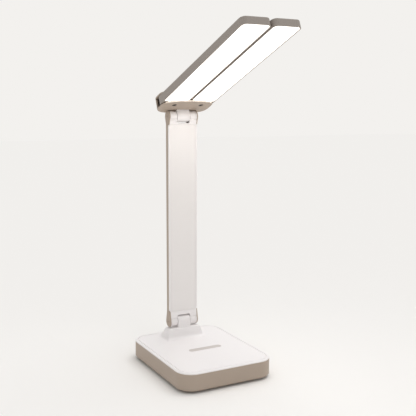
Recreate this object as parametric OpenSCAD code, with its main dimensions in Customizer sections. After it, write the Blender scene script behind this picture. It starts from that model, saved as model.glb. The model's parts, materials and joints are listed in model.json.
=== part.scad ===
// Folding LED desk lamp: weighted base with a touch key, a flat arm on friction
// hinges, and two light panels that swing out of an oval carrier.
// Millimetres, +Z up, the panels point towards -Y, origin under the base's centre.

/* [Base] */
// Width of the base, side to side
base_w = 120; // [112:1:150]
// Depth of the base, front to back
base_d = 151; // [146:1:180]
// Corner radius of the base in plan
base_r = 20; // [16:0.5:26]
// Height of the lower shell's side band
band_h = 19.7; // [18.5:0.1:26]
// Width of the slope under the band's lower edge
band_slope = 1.6; // [0.8:0.1:2]
// Wall of the lower shell
base_wall = 2.2; // [1.8:0.1:3]
// Floor of the lower shell
base_floor = 2.2; // [1.8:0.1:3]
// Height of the cover's rim above the band
cover_t = 1.7; // [1.5:0.1:2.4]
// Distance of the cover's groove from the edge
groove_inset = 3; // [2.5:0.1:5]
// Distance of the cover screws from the outer edges
screw_inset = 13; // [12:0.5:14]

/* [Foot pad] */
// How far the pad stands out below the shell
pad_proud = 2.5; // [1:0.1:3]
// Depth of the pad's recess
pad_recess = 0.5; // [0.3:0.1:0.8]
// Distance of the pad's edge from the base's edge
pad_inset = 7; // [5:0.5:9]

/* [Touch key] */
// Length of the key
key_l = 43.2; // [30:0.2:60]
// Width of the key
key_w = 8; // [6:0.2:12]
// Place of the key's centre to the right of the middle
key_x = 3.4; // [-8:0.2:8]
// Place of the key's centre in front of the middle
key_y = 6.7; // [0:0.1:20]
// Thickness of the key
key_t = 1; // [0.8:0.1:1.2]

/* [Pedestal] */
// Width of the pedestal at its foot
ped_w = 48.4; // [44:0.2:54]
// Width of the pedestal at its top
ped_top_w = 44.4; // [41:0.2:50]
// Distance of the pedestal's upper front edge from the hinge axis
ped_front_y = 7.5; // [7.2:0.1:9]
// Distance of the pedestal's upper rear edge from the hinge axis
ped_rear_y = 5; // [4.8:0.1:8]
// Distance that the pedestal's front gains down to its foot
ped_front_slope = 1.8; // [0:0.1:3]
// Distance that the pedestal's rear gains down to its foot
ped_rear_slope = 6; // [1:0.1:7]
// Gap between the pedestal's top and the arm's cheeks
ped_gap = 0.9; // [0.5:0.1:1.2]
// Radius of the hollow fillet at the pedestal's front
ped_fillet = 6; // [3:0.5:8]

/* [Hinges] */
// Height of the lower hinge axis above the desk
hinge_z = 45; // [43:0.5:50]
// Distance of the hinge axes from the base's back edge
hinge_back = 26.1; // [24:0.1:34]
// Radius of the arm's round side cheeks
cheek_r = 6.8; // [6.4:0.1:7]
// Radius of the arm's hinge barrels
barrel_r = 6.3; // [6:0.1:6.3]
// Width of the middle knuckles
knuckle_w = 16.8; // [14:0.2:18]
// Diameter of the hinge shafts
shaft_d = 6; // [5:0.1:6.4]
// Diameter of the wire passage through the shafts
shaft_bore = 3.4; // [2:0.1:3.8]
// Thickness of a friction washer
washer_t = 0.4; // [0.3:0.05:0.6]

/* [Arm] */
// Length of the arm between the hinge axes
arm_l = 256.5; // [230:0.5:290]
// Width of the arm
arm_w = 38.6; // [37:0.2:42]
// Thickness of the arm
arm_t = 8.4; // [8:0.1:9]
// Thickness of the front shell
front_t = 2.4; // [2.2:0.1:2.6]
// Thickness of the rear shell's back
rear_t = 1.5; // [1.2:0.1:1.8]
// Thickness of the side cheeks
cheek_t = 1.2; // [1:0.1:1.6]
// Distance from the lower axis over which the arm swells
flare_lo = 13; // [11:0.5:16]
// Distance from the upper axis over which the arm swells
flare_hi = 9.5; // [9:0.5:14]
// Depth of the notches over the middle knuckles, from the axes
notch_h = 8.2; // [7.8:0.1:8.8]
// Radius of the front shell's corners
front_r = 3; // [1:0.5:4]
// Width of the front insert panel
insert_w = 34.4; // [30:0.2:35]
// Thickness of the front insert panel
insert_t = 0.8; // [0.6:0.1:1]
// Thickness of the steel strip inside the arm
strip_t = 1.5; // [1:0.1:2]
// Width of the steel strip inside the arm
strip_w = 20; // [14:0.5:22]

/* [Carrier] */
// Upward tilt of the head at rest, in degrees
head_tilt = 21.5; // [0:0.5:40]
// Distance of the carrier plate's underside from the upper axis
plate_n = 6.2; // [6:0.1:6.6]
// Thickness of the carrier plate
plate_t = 2.2; // [2:0.1:3]
// Width of the slope round the carrier plate's underside
plate_slope = 2.6; // [1:0.1:3]
// Half width of the carrier's oval
oval_half = 33.8; // [33.6:0.1:38]
// Half depth of the carrier's oval, front to back
oval_deep = 19.5; // [19.2:0.1:21]
// Distance of the oval's widest line from the upper axis
oval_s = 13.2; // [13:0.1:14]
// Squareness of the oval, 2 for an ellipse and more for a fuller shape
oval_power = 3.3; // [3.2:0.1:4]
// Thickness of the carrier's rear wall
rear_wall = 1.8; // [1.4:0.1:2.2]
// Thickness of the cap over the panels
cap_t = 2.2; // [2:0.1:3.6]
// Drop of the cap's top towards its front edge
cap_fall = 1.2; // [0.6:0.1:1.2]

/* [Panels] */
// Width of one light panel
panel_w = 33.6; // [32:0.1:34]
// Thickness of a light panel at its tip
panel_t = 8.3; // [7.5:0.1:10]
// Thickness that a light panel gains towards its pivot
panel_rise = 2.4; // [0:0.1:3]
// Distance from the upper axis to the panels' tips
head_l = 220; // [190:0.5:240]
// Gap between the two panels
panel_gap = 1.8; // [1.2:0.1:2.4]
// Radius of the panels' tip corners
tip_r = 6; // [3:0.5:8]
// Width of the rim round the diffuser
rim_w = 1.2; // [1:0.1:1.5]
// Thickness of the diffuser
diffuser_t = 1.6; // [1.2:0.1:2]
// Distance of the swing pivots from the upper axis
pivot_s = 20.6; // [20.4:0.1:21.4]
// Diameter of the pivot posts
pivot_d = 6; // [5:0.1:7]
// Number of light-emitting diodes in each row
led_count = 14; // [8:1:18]

/* [Inside the base] */
// Width, depth and height of the ballast plate
ballast_size = [80, 60, 7];
// Width, depth and height of the battery pack
battery_size = [60, 34, 9];
// Width, depth and thickness of the control board
board_size = [60, 32, 1.6];
// Width, depth and height of the charging socket
socket_size = [9, 7.4, 3.2];
// Height of the control board's standoffs
standoff_h = 4.4; // [3:0.1:5]

/* [Fits] */
// Radial clearance of a running fit
run_fit = 0.05; // [0.02:0.01:0.09]
// Clearance round a piece that is set in and stays put
set_fit = 0.1; // [0.05:0.01:0.2]
// Gap between curved parts that move past each other
swing_gap = 0.4; // [0.35:0.05:0.6]
// Flat gap on each side of a swinging panel
panel_play = 0.3; // [0.2:0.05:0.4]

/* [Hidden] */
$fn = 64;

// Colours
taupe = "#A39485";
panel_taupe = "#9E958C";
white = "#F3F0EF";
satin_white = "#E6E0DE";
rubber_grey = "#4A4744";
steel = "#B8BABD";
board_green = "#3E6B4F";
lit_white = "#FFFCF6";

// Heights in the base
band_z = pad_proud;
rim_z = band_z + band_h;
top_z = rim_z + cover_t;
floor_z = band_z + base_floor;
rim_edge = 1; // rounding of the cover's rim
lap_h = 2; // height of the cover's locating lip inside the band
lap_t = 1.2;
screw_x = base_w / 2 - screw_inset;
screw_y = base_d / 2 - screw_inset;
post_z = floor_z + 3.3; // top of the shell's screw posts
screw_d = 2.9;
screw_head_d = 5.6;
screw_head_h = 1.6;
screw_shank = 12;
post_d = 9; // the shell's screw posts
cover_post_d = 7; // the cover's posts above them
groove_w = 0.9;
groove_h = 0.6;
standoff_d = 5;
standoff_inset = 4; // of the standoffs from the board's edges
peg_d = 4;
peg_inset = 8; // of the locating pegs from the ballast plate's ends
pad_ring = 12; // width of the pad's tread round its hollow
battery_y = 15;
ballast_gap = 3; // from the ballast plate to the base's front wall
ballast_y = -base_d / 2 + base_wall + ballast_gap + ballast_size[1] / 2;
board_y = base_d / 2 - base_wall - 1 - board_size[1] / 2;
board_top = floor_z + standoff_h + board_size[2];
socket_y = base_d / 2 - 0.3 - socket_size[1];
socket_wall = 0.35;
chip = [9, 9, 1.3]; // controller on the board
coil = [7, 7, 4];
plug = [8, 5, 3.5]; // wire connector
capacitor_d = 6;
capacitor_h = 5;
touch_edge = 2; // of the sensor board round the key
touch_plug = [4, 5, 2.1];

// Pedestal
ped_top_z = hinge_z - cheek_r - ped_gap;
ped_shoulder = 2.5;
ped_end_shoulder = 3.5;
ped_small_fillet = 2.5; // at its rear and ends
ped_wall = 4; // round the room for the wires
knuckle_root = 5; // depth that the lower knuckle reaches into the pedestal

// Hinges
hinge_y = base_d / 2 - hinge_back;
axis_hi = hinge_z + arm_l;
notch_w = knuckle_w + 2 * (washer_t + 0.1);
barrel_end = arm_w / 2 - cheek_t;
head_d = 9; // across the shaft's head and the nut
head_t = 2.5;
barrel_sink = head_t + 0.1;
ledge_s = 4.5; // distance from an axis at which the shells stop short of the barrels
ledge_y = 5.3; // their distance from the arm's middle plane there
ring_x = barrel_end - 1.6; // groove round each barrel
dimple_d = 2.4;
washer_d = 11;

// Arm
front_y = -arm_t / 2;
front_back_y = front_y + front_t;
rear_in_y = arm_t / 2 - rear_t;
insert_y = front_y + insert_t + 0.1;
insert_lo = flare_lo + 0.3;
insert_hi = arm_l - flare_hi - 0.3;
insert_r = 3;
screw_margin = 30; // from an axis to the nearest arm screw
arm_screw_z = [for (k = [0:3]) screw_margin + k * (arm_l - 2 * screw_margin) / 3];
boss_d = 5.4;
arm_screw_d = 2;
arm_head_d = 4.4;
arm_head_t = 0.8;
cable_w = 5;
cable_t = 1.2;
cable_x = (strip_w / 2 + barrel_end) / 2;

// Carrier and panels, measured from the upper axis: s towards the tips, n upwards
plate_top = plate_n + plate_t;
lit_n = plate_top + panel_play;
tip_n = lit_n + panel_t;
panel_top = tip_n + panel_rise;
panel_level = 14; // the top is level up to this distance in front of the pivot
pivot_washer_t = 0.4;
pivot_washer_d = 13;
plate_slope_n = 1.4; // height of the slope round the plate
cap_in = panel_top + pivot_washer_t + 0.1;
cap_top = cap_in + cap_t;
cap_flat_s = 18; // the cap's top is level up to here
oval_front = oval_s + oval_deep;
pivot_x = (panel_w + panel_gap) / 2;
side_open_s = 9.5; // the rear wall ends here, and the panels swing out in front of it
pocket_r = cheek_r + swing_gap + 0.1;
pivot_head_d = 5.6;
pivot_head_t = 1.1;
pivot_screw_d = 2.6;
pivot_screw_top = plate_top + 6.3;
diffuser_n = lit_n + 0.2;
ledge_w = 1.2;
panel_skin = 1.5;
pocket_top = tip_n - panel_skin;
window_r = 4;
window_back = 5; // solid stretch between the pivot and the window
led_board_t = 1.2;
block_screw_x = 5;
block_screw_s = 4.6;

// Points along an arc, counted from angle a0 to a1
function arc(x, y, r, a0, a1, n = 12) =
    [for (i = [0:n]) let (a = a0 + (a1 - a0) * i / n) [x + r * cos(a), y + r * sin(a)]];

// Outline of a rectangle with round corners, centred
function round_rect(w, d, r) = concat(
    arc(w / 2 - r, d / 2 - r, r, 0, 90), arc(-w / 2 + r, d / 2 - r, r, 90, 180),
    arc(-w / 2 + r, -d / 2 + r, r, 180, 270), arc(w / 2 - r, -d / 2 + r, r, 270, 360));

// Angle at which a line from the point [x, y] touches a circle of radius r at the origin
function touch_angle(x, y, r) = atan2(y, x) - acos(r / norm([x, y]));

module round_plate(w, d, r, h) {
    linear_extrude(h) polygon(round_rect(w, d, r));
}

// A profile drawn as (y, z), as wide as w along X
module along_x(w) {
    translate([-w / 2, 0, 0]) rotate([90, 0, 90]) linear_extrude(w) children();
}

// A profile drawn as (x, z), as deep as d along Y
module along_y(d) {
    rotate([90, 0, 0]) linear_extrude(d, center = true) children();
}

module rod_x(d, w) {
    rotate([0, 90, 0]) cylinder(d = d, h = w, center = true);
}

module both_sides() {
    children();
    mirror([1, 0, 0]) children();
}

module four_corners(x, y) {
    for (sx = [-1, 1], sy = [-1, 1]) translate([sx * x, sy * y, 0]) children();
}

module at_lower() {
    translate([0, hinge_y, hinge_z]) children();
}

module at_upper() {
    translate([0, hinge_y, axis_hi]) children();
}

// The head's own frame: -Y runs to the tips and +Z out of the panels' tops
module at_head() {
    at_upper() rotate([-head_tilt, 0, 0]) children();
}

// Base

module base_shell() {
    color(taupe) difference() {
        union() {
            difference() {
                hull() {
                    translate([0, 0, band_z])
                        round_plate(base_w - 2 * band_slope, base_d - 2 * band_slope,
                                    base_r - band_slope, 0.1);
                    translate([0, 0, band_z + band_slope])
                        round_plate(base_w, base_d, base_r, band_h - band_slope);
                }
                translate([0, 0, floor_z])
                    round_plate(base_w - 2 * base_wall, base_d - 2 * base_wall,
                                base_r - base_wall, band_h);
            }
            four_corners(screw_x, screw_y) translate([0, 0, floor_z - 0.5])
                cylinder(d = post_d, h = post_z - floor_z + 0.5);
            board_standoffs();
            locating_pegs();
        }
        translate([0, 0, band_z - 1])
            round_plate(base_w - 2 * pad_inset + 2 * set_fit, base_d - 2 * pad_inset + 2 * set_fit,
                        base_r - pad_inset + set_fit, pad_recess + 1);
        four_corners(screw_x, screw_y) {
            translate([0, 0, band_z]) cylinder(d = screw_head_d + 0.4, h = base_floor + 0.2);
            cylinder(d = screw_d + 0.4, h = post_z + 1);
        }
        translate([0, base_d / 2 - base_wall / 2, board_top + socket_size[2] / 2])
            cube([socket_size[0] + 2 * set_fit, base_wall + 1, socket_size[2] + 2 * set_fit],
                 center = true);
    }
}

module board_standoffs() {
    translate([0, board_y, floor_z - 0.5])
        four_corners(board_size[0] / 2 - standoff_inset, board_size[1] / 2 - standoff_inset)
            cylinder(d = standoff_d, h = standoff_h + 0.5);
}

// Pegs that hold the ballast plate in place
module locating_pegs() {
    for (sx = [-1, 1]) translate([sx * (ballast_size[0] / 2 - peg_inset), ballast_y, floor_z - 0.5])
        cylinder(d = peg_d, h = ballast_size[2] - 0.5);
}

module base_cover() {
    color(white) difference() {
        union() {
            hull() {
                translate([0, 0, rim_z]) round_plate(base_w, base_d, base_r, cover_t - rim_edge);
                translate([0, 0, top_z - 0.3])
                    round_plate(base_w - 0.7, base_d - 0.7, base_r - 0.35, 0.05);
                translate([0, 0, top_z - 0.05])
                    round_plate(base_w - 2 * rim_edge, base_d - 2 * rim_edge,
                                base_r - rim_edge, 0.05);
            }
            locating_lip();
            pedestal();
            at_lower() knuckle(-(hinge_z - ped_top_z) - knuckle_root);
            four_corners(screw_x, screw_y) translate([0, 0, post_z])
                cylinder(d = cover_post_d, h = rim_z - post_z + 0.5);
        }
        edge_groove();
        translate([key_x, -key_y, top_z - key_t])
            linear_extrude(key_t + 1) polygon(key_outline(set_fit));
        at_lower() rod_x(shaft_d + 2 * run_fit, knuckle_w + 2);
        four_corners(screw_x, screw_y) translate([0, 0, post_z - 1])
            cylinder(d = screw_d + 0.1, h = screw_shank - 1);
        pedestal_hollow();
    }
}

module locating_lip() {
    out_w = base_w - 2 * base_wall - 2 * set_fit;
    out_d = base_d - 2 * base_wall - 2 * set_fit;
    out_r = base_r - base_wall - set_fit;
    translate([0, 0, rim_z - lap_h]) difference() {
        round_plate(out_w, out_d, out_r, lap_h + 0.2);
        translate([0, 0, -1])
            round_plate(out_w - 2 * lap_t, out_d - 2 * lap_t, out_r - lap_t, lap_h + 2);
    }
}

module edge_groove() {
    w = base_w - 2 * groove_inset;
    d = base_d - 2 * groove_inset;
    r = base_r - groove_inset;
    translate([0, 0, top_z - groove_h]) difference() {
        round_plate(w, d, r, groove_h + 1);
        translate([0, 0, -1])
            round_plate(w - 2 * groove_w, d - 2 * groove_w, r - groove_w, groove_h + 3);
    }
}

// Outline of the key, grown by g
function key_outline(g = 0) =
    let (r = key_w / 2 + g, x = key_l / 2 - key_w / 2)
    concat(arc(x, 0, r, -90, 90, 16), arc(-x, 0, r, 90, 270, 16));

// Side view of the pedestal as (y, z): hollow fillets at the foot, round shoulders on top
function ped_side() =
    let (front = ped_front_y + ped_front_slope, rear = ped_rear_y + ped_rear_slope,
         r = ped_shoulder, f = ped_fillet, k = ped_small_fillet)
    concat([[-front - f, top_z - 0.5]],
           arc(-front - f, top_z + f, f, -90, 0, 8),
           arc(-ped_front_y + r, ped_top_z - r, r, 180, 90, 6),
           arc(ped_rear_y - r, ped_top_z - r, r, 90, 0, 6),
           arc(rear + k, top_z + k, k, 180, 270, 6),
           [[rear + k, top_z - 0.5]]);

// Front view of the pedestal as (x, z): drafted ends with round shoulders
function ped_front() =
    let (top = ped_top_w / 2, foot = ped_w / 2, r = ped_end_shoulder, f = ped_small_fillet)
    concat([[-foot - f, top_z - 0.5]],
           arc(-foot - f, top_z + f, f, -90, 0, 6),
           arc(-top + r, ped_top_z - r, r, 180, 90, 6),
           arc(top - r, ped_top_z - r, r, 90, 0, 6),
           arc(foot + f, top_z + f, f, 180, 270, 6),
           [[foot + f, top_z - 0.5]]);

module pedestal() {
    translate([0, hinge_y, 0]) intersection() {
        along_x(ped_w + 20) polygon(ped_side());
        along_y(80) polygon(ped_front());
    }
}

// Room under the pedestal for the wires to the hinge
module pedestal_hollow() {
    front = ped_front_y - ped_wall + 1.5;
    rear = ped_rear_y - ped_wall / 2;
    translate([-ped_top_w / 2 + ped_wall, hinge_y - front, rim_z - 1])
        cube([ped_top_w - 2 * ped_wall, front + rear, ped_top_z - rim_z - 1]);
}

// Middle knuckle of a hinge, from its round top down to the height foot (negative)
module knuckle(foot) {
    along_x(knuckle_w)
        polygon(concat([[cheek_r, foot]], arc(0, 0, cheek_r, 0, 180, 32), [[-cheek_r, foot]]));
}

module touch_key() {
    color(panel_taupe) translate([key_x, -key_y, top_z - key_t])
        linear_extrude(key_t + 0.15) polygon(key_outline());
}

module touch_board() {
    color(board_green) translate([key_x, -key_y, rim_z - 2]) union() {
        translate([-key_l / 2 - touch_edge, -key_w / 2 - touch_edge, 0.8])
            cube([key_l + 2 * touch_edge, key_w + 2 * touch_edge, 1.2]);
        translate([key_l / 2 - touch_plug[0], -touch_plug[1] / 2, 0.9 - touch_plug[2]])
            cube(touch_plug);
    }
}

module foot_pad() {
    color(rubber_grey) difference() {
        round_plate(base_w - 2 * pad_inset, base_d - 2 * pad_inset, base_r - pad_inset,
                    band_z + pad_recess);
        translate([0, 0, -1])
            round_plate(base_w - 2 * (pad_inset + pad_ring), base_d - 2 * (pad_inset + pad_ring),
                        base_r - pad_inset - 4, 1.5);
    }
}

module ballast_plate() {
    color(steel) translate([0, ballast_y, floor_z]) difference() {
        round_plate(ballast_size[0], ballast_size[1], 3, ballast_size[2]);
        for (sx = [-1, 1]) translate([sx * (ballast_size[0] / 2 - peg_inset), 0, -1])
            cylinder(d = peg_d + 2 * set_fit, h = ballast_size[2] + 2);
    }
}

module battery_pack() {
    color("#7D8FA3") translate([0, battery_y, floor_z]) union() {
        round_plate(battery_size[0], battery_size[1], 4, battery_size[2]);
        translate([battery_size[0] / 2 - 8, battery_size[1] / 2 - 0.5, 2]) cube([4, 3.5, 2]);
    }
}

// A component's place on the control board, as parts of the board's width and depth
module on_board(u, v) {
    translate([u * board_size[0], v * board_size[1], board_size[2] - 0.1]) children();
}

module control_board() {
    color(board_green) translate([0, board_y, floor_z + standoff_h]) {
        translate([-board_size[0] / 2, -board_size[1] / 2, 0]) cube(board_size);
        on_board(-0.16, 0) translate([-chip[0] / 2, -chip[1] / 2, 0]) cube(chip);
        on_board(0.28, -0.12) translate([-coil[0] / 2, -coil[1] / 2, 0]) cube(coil);
        for (v = [-0.2, 0.15]) on_board(-0.36, v) cylinder(d = capacitor_d, h = capacitor_h);
        on_board(0.32, 0.26) translate([-plug[0] / 2, -plug[1] / 2, 0]) cube(plug);
    }
}

// Outline of the socket's shell, shrunk by g
function socket_outline(g = 0) =
    let (r = socket_size[2] / 2 - g, x = socket_size[0] / 2 - socket_size[2] / 2)
    concat(arc(x, 0, r, -90, 90, 8), arc(-x, 0, r, 90, 270, 8));

module charging_socket() {
    tongue_w = socket_size[0] - 2.4;
    color(steel) translate([0, socket_y + socket_size[1], board_top + socket_size[2] / 2])
        rotate([90, 0, 0]) union() {
            difference() {
                linear_extrude(socket_size[1]) polygon(socket_outline());
                translate([0, 0, -1]) linear_extrude(socket_size[1])
                    polygon(socket_outline(socket_wall));
            }
            translate([-tongue_w / 2, -socket_wall, 0.8])
                cube([tongue_w, 2 * socket_wall, socket_size[1] - 1]);
        }
}

module cover_screws() {
    color(steel) four_corners(screw_x, screw_y) {
        head_z = floor_z + 0.2 - screw_head_h;
        difference() {
            translate([0, 0, head_z]) cylinder(d = screw_head_d, h = screw_head_h);
            translate([0, 0, head_z - 0.1]) cylinder(d = 2.6, h = 1, $fn = 6);
        }
        translate([0, 0, floor_z]) cylinder(d = screw_d, h = screw_shank);
    }
}

// Hinges

// Shaft with a round head at the left end, a wire passage and a flat ring for the nut
module hinge_shaft() {
    difference() {
        union() {
            rod_x(shaft_d, 2 * (barrel_end - 0.2));
            translate([-barrel_end + 0.1 + head_t / 2, 0, 0]) rod_x(head_d, head_t);
        }
        rod_x(shaft_bore, 2 * barrel_end + 2);
    }
}

module hinge_washers() {
    both_sides() translate([knuckle_w / 2 + 0.05 + washer_t / 2, 0, 0]) difference() {
        rod_x(washer_d, washer_t);
        rod_x(shaft_d + 2 * run_fit, washer_t + 1);
    }
}

module hinge_nut() {
    translate([barrel_end - 0.1 - head_t / 2, 0, 0]) difference() {
        rotate([0, 90, 0]) cylinder(d = head_d, h = head_t, center = true, $fn = 6);
        rod_x(shaft_d + 2 * run_fit, head_t + 1);
    }
}

module lower_shaft() {
    color(steel) at_lower() hinge_shaft();
}

module lower_washers() {
    color(steel) at_lower() hinge_washers();
}

module lower_nut() {
    color(steel) at_lower() hinge_nut();
}

module upper_shaft() {
    color(steel) at_upper() hinge_shaft();
}

module upper_washers() {
    color(steel) at_upper() hinge_washers();
}

module upper_nut() {
    color(steel) at_upper() hinge_nut();
}

// Arm

// The lower end as drawn, and the upper end as its mirror image
module at_upper_end() {
    translate([0, 0, arm_l]) mirror([0, 0, 1]) children();
}

// Side outline of the arm as (y, z): straight, swelling to a round cheek at both axes
function arm_side() =
    let (h = arm_t / 2,
         lo = touch_angle(h, flare_lo, cheek_r),
         hi = touch_angle(h, flare_hi, cheek_r))
    concat([[h, flare_lo]], arc(0, 0, cheek_r, lo, -180 - lo, 48), [[-h, flare_lo]],
           [[-h, arm_l - flare_hi]], arc(0, arm_l, cheek_r, 180 + hi, -hi, 48),
           [[h, arm_l - flare_hi]]);

// Opening for a middle knuckle, with round inner corners, drawn as (x, z)
module notch() {
    r = 2;
    along_y(40)
        polygon(concat([[-notch_w / 2, -20]], arc(-notch_w / 2 + r, notch_h - r, r, 180, 90, 6),
                       arc(notch_w / 2 - r, notch_h - r, r, 90, 0, 6), [[notch_w / 2, -20]]));
}

// Front half of one end as (y, z): the swelling shell over the barrel
module front_flare(flare) {
    along_x(2 * barrel_end)
        polygon([[front_y, flare + 0.01], [-ledge_y, ledge_s], [-ledge_y + 2, ledge_s - 0.5],
                 [-2, 0], [0, 0], [front_back_y, flare + 0.01]]);
}

module front_end(flare) {
    difference() {
        union() {
            rod_x(2 * barrel_r, 2 * barrel_end);
            front_flare(flare);
        }
        notch();
        both_sides() translate([ring_x, 0, 0]) difference() {
            rod_x(2 * barrel_r + 2, 0.5);
            rod_x(2 * barrel_r - 0.6, 2);
        }
    }
}

module arm_front_shell() {
    color(white) at_lower() difference() {
        union() {
            translate([0, front_y + front_t / 2, (arm_l + flare_lo - flare_hi) / 2])
                along_y(front_t)
                    polygon(round_rect(arm_w, arm_l - flare_lo - flare_hi, front_r));
            front_end(flare_lo);
            at_upper_end() front_end(flare_hi);
        }
        insert_space(set_fit);
        for (z = arm_screw_z) translate([0, front_y, z]) rotate([-90, 0, 0]) {
            cylinder(d = arm_head_d + 2 * set_fit, h = insert_t + 0.1 + arm_head_t + 0.1);
            cylinder(d = arm_screw_d + 2 * set_fit, h = front_t + 1);
        }
        for (z = [0, arm_l]) translate([0, 0, z]) {
            rod_x(shaft_d + 2 * run_fit, arm_w);
            both_sides() translate([barrel_end - barrel_sink / 2 + 0.5, 0, 0])
                rod_x(head_d + 2 * set_fit, barrel_sink + 1);
        }
    }
}

// The insert's shape in the arm's frame, grown by g at its edges
module insert_space(g = 0) {
    h = insert_hi - insert_lo;
    translate([0, (front_y + insert_y) / 2 - 0.5, insert_lo + h / 2])
        along_y(insert_y - front_y + 1)
            polygon(round_rect(insert_w + 2 * g, h + 2 * g, insert_r + g));
}

module arm_insert() {
    h = insert_hi - insert_lo;
    color(satin_white) at_lower() translate([0, insert_y - insert_t / 2, insert_lo + h / 2])
        along_y(insert_t) polygon(round_rect(insert_w, h, insert_r));
}

module back_flare(flare) {
    difference() {
        along_x(2 * barrel_end + 0.02)
            polygon([[arm_t / 2, flare + 0.01], [ledge_y, ledge_s], [ledge_y - 2, ledge_s],
                     [rear_in_y, flare + 0.01]]);
        rod_x(2 * (barrel_r + 0.2), arm_w);
        notch();
    }
}

module arm_rear_shell() {
    color(taupe) at_lower() difference() {
        union() {
            both_sides() translate([arm_w / 2 - cheek_t / 2, 0, 0])
                along_x(cheek_t) polygon(arm_side());
            translate([-barrel_end - 0.01, rear_in_y, flare_lo])
                cube([2 * barrel_end + 0.02, rear_t, arm_l - flare_lo - flare_hi]);
            back_flare(flare_lo);
            at_upper_end() back_flare(flare_hi);
            for (z = arm_screw_z) translate([0, front_back_y, z]) rotate([-90, 0, 0])
                cylinder(d = boss_d, h = rear_in_y - front_back_y + 0.5);
        }
        translate([-arm_w / 2 - 1, front_y - 1, flare_lo])
            cube([arm_w + 2, front_t + 1, arm_l - flare_lo - flare_hi]);
        for (z = arm_screw_z) translate([0, front_back_y - 1, z]) rotate([-90, 0, 0])
            cylinder(d = arm_screw_d + 0.1, h = 5);
        for (z = [0, arm_l]) both_sides() translate([arm_w / 2, 0, z]) rod_x(dimple_d, 1);
    }
}

module arm_strip() {
    color(steel) at_lower() difference() {
        translate([-strip_w / 2, rear_in_y - strip_t, flare_lo + 4])
            cube([strip_w, strip_t, arm_l - flare_lo - flare_hi - 8]);
        for (z = arm_screw_z) translate([0, 0, z]) rotate([-90, 0, 0])
            cylinder(d = boss_d + 0.4, h = arm_t);
    }
}

module arm_cable() {
    color("#D8D4CC") at_lower()
        translate([cable_x - cable_w / 2, rear_in_y - cable_t, flare_lo + 1])
            cube([cable_w, cable_t, arm_l - flare_lo - flare_hi - 2]);
}

module arm_screws() {
    color(steel) at_lower() for (z = arm_screw_z)
        translate([0, insert_y + 0.05, z]) rotate([-90, 0, 0]) difference() {
            union() {
                cylinder(d = arm_head_d, h = arm_head_t);
                cylinder(d = arm_screw_d, h = arm_head_t + 4);
            }
            translate([0, 0, -0.1]) cylinder(d = 1.8, h = 0.6, $fn = 6);
        }
}

// Carrier

// Coordinate of a full oval at the angle's sine or cosine v
function fuller(v) = sign(v) * pow(abs(v), 2 / oval_power);

// The carrier's oval, shrunk by g, in the head's frame
module oval(g = 0) {
    polygon([for (i = [0:119]) let (a = 3 * i)
        [(oval_half - g) * fuller(cos(a)), (oval_deep - g) * fuller(sin(a)) - oval_s]]);
}

module hinge_block() {
    color(white) at_head() difference() {
        along_x(knuckle_w)
            polygon(concat([[5, plate_n]], [[cheek_r, 1]], arc(0, 0, cheek_r, 0, -180, 32),
                           [[-cheek_r, plate_n]]));
        rod_x(shaft_d + 2 * run_fit, knuckle_w + 2);
        for (sx = [-1, 1]) translate([sx * block_screw_x, -block_screw_s, plate_n - 4])
            cylinder(d = arm_screw_d + 0.1, h = 5);
    }
}

module hinge_block_screws() {
    color(steel) at_head() for (sx = [-1, 1])
        translate([sx * block_screw_x, -block_screw_s, plate_n]) difference() {
            union() {
                translate([0, 0, -3.8]) cylinder(d = arm_screw_d, h = 3.8 + plate_t - 1);
                translate([0, 0, plate_t - 1]) cylinder(d = arm_head_d, h = arm_head_t);
            }
            translate([0, 0, plate_t - 0.6]) cylinder(d = 1.8, h = 1, $fn = 6);
        }
}

module carrier_plate() {
    color(taupe) at_head() difference() {
        hull() {
            translate([0, 0, plate_n]) linear_extrude(0.1) oval(plate_slope);
            translate([0, 0, plate_n + plate_slope_n]) linear_extrude(plate_t - plate_slope_n) oval();
        }
        both_sides() translate([(knuckle_w / 2 + arm_w / 2 + swing_gap) / 2, 0, 0])
            rod_x(2 * pocket_r, arm_w / 2 - knuckle_w / 2 + swing_gap);
        for (sx = [-1, 1]) {
            translate([sx * pivot_x, -pivot_s, plate_n - 1]) {
                cylinder(d = pivot_head_d + 0.3, h = 1 + pivot_head_t + 0.3);
                cylinder(d = pivot_screw_d + 0.3, h = plate_t + 2);
            }
            translate([sx * block_screw_x, -block_screw_s, plate_n]) {
                translate([0, 0, -1]) cylinder(d = arm_screw_d + 0.2, h = plate_t + 2);
                translate([0, 0, plate_t - 1]) cylinder(d = arm_head_d + 2 * set_fit, h = 2);
            }
        }
    }
}

// Side view of the cap as (y, n), sloping down to its front edge
function cap_side() = [
    [10, plate_top], [10, cap_top], [-cap_flat_s, cap_top], [-oval_front, cap_top - cap_fall],
    [-oval_front - 5, cap_top - cap_fall], [-oval_front - 5, plate_top]];

module carrier_cap() {
    color(taupe) at_head() difference() {
        union() {
            difference() {
                intersection() {
                    translate([0, 0, plate_top]) linear_extrude(cap_top) oval();
                    along_x(100) polygon(cap_side());
                }
                translate([0, 0, plate_top - 1]) linear_extrude(cap_in - plate_top + 1)
                    oval(rear_wall);
                translate([-50, -side_open_s - 60, plate_top - 1])
                    cube([100, 60, cap_in - plate_top + 1]);
            }
            for (sx = [-1, 1]) translate([sx * pivot_x, -pivot_s, plate_top])
                cylinder(d = pivot_d, h = cap_in - plate_top + 0.5);
        }
        for (sx = [-1, 1]) translate([sx * pivot_x, -pivot_s, plate_top - 1])
            cylinder(d = pivot_screw_d + 0.1, h = pivot_screw_top - plate_top + 2);
    }
}

module pivot_screws() {
    color(steel) at_head() for (sx = [-1, 1])
        translate([sx * pivot_x, -pivot_s, plate_n + 0.3]) difference() {
            union() {
                cylinder(d = pivot_head_d, h = pivot_head_t);
                cylinder(d = pivot_screw_d, h = pivot_screw_top - plate_n - 0.3);
            }
            translate([0, 0, -0.1]) cylinder(d = 2.2, h = 0.7, $fn = 6);
        }
}

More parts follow.
